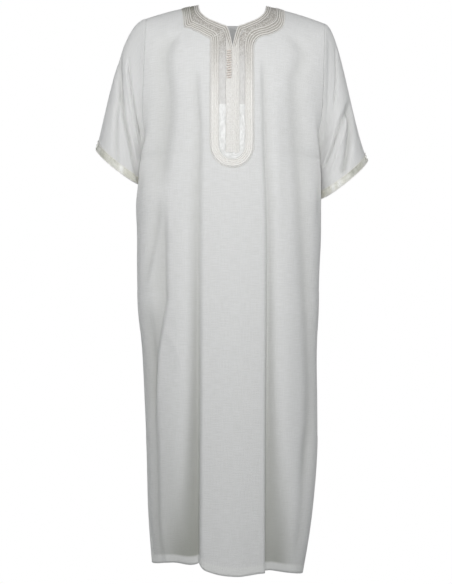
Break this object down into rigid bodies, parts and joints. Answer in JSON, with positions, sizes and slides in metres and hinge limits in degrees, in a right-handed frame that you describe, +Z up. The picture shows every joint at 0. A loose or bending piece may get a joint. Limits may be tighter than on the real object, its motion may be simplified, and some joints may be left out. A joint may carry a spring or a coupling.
{
  "type": "djellaba robe, short-sleeved",
  "caption": "Ivory ankle-length djellaba with short dropped sleeves, V-notched neck, satin and braid neck band and bib, knotted placket, side pocket slits and open side vents.",
  "frame": {"origin": "middle of the shoulder seat, between the two shoulders that carry the cloth", "axes": "+Z up along the body, the front of the garment faces -Y, and +X is the wearer's left"},
  "size_m": [0.6619, 0.2744, 1.3723],
  "materials": {
    "ivory_cloth": "ivory plain weave with a fine slub, matte",
    "satin_ribbon": "grey-beige satin ribbon, soft gloss",
    "ribbed_strip": "fine cross-ribbed cream strip",
    "cord": "twisted cream rayon cord, slight lustre",
    "knot_thread": "knotted pink-beige thread",
    "cuff_satin": "cream satin ribbon, glossy"
  },
  "bodies": {
    "root": {"front_panel": "ivory_cloth", "back_panel": "ivory_cloth", "sleeve_right": "ivory_cloth", "sleeve_left": "ivory_cloth", "pocket_facing_right": "ivory_cloth", "pocket_facing_left": "ivory_cloth", "neck_band_right": "satin_ribbon", "neck_band_left": "satin_ribbon", "neck_band_back": "satin_ribbon", "bib_ribbon": "satin_ribbon", "placket_strip": "ribbed_strip", "braid_outer_front": "cord", "braid_outer_back": "cord", "braid_inner_right": "cord", "braid_inner_left": "cord", "braid_inner_back": "cord", "cuff_band_right": "cuff_satin", "cuff_band_left": "cuff_satin", "knot_1": "knot_thread", "knot_2": "knot_thread", "knot_3": "knot_thread", "knot_4": "knot_thread", "knot_5": "knot_thread", "knot_6": "knot_thread", "knot_7": "knot_thread", "knot_8": "knot_thread", "knot_9": "knot_thread", "knot_10": "knot_thread", "knot_11": "knot_thread", "knot_12": "knot_thread"}
  },
  "joints": []
}
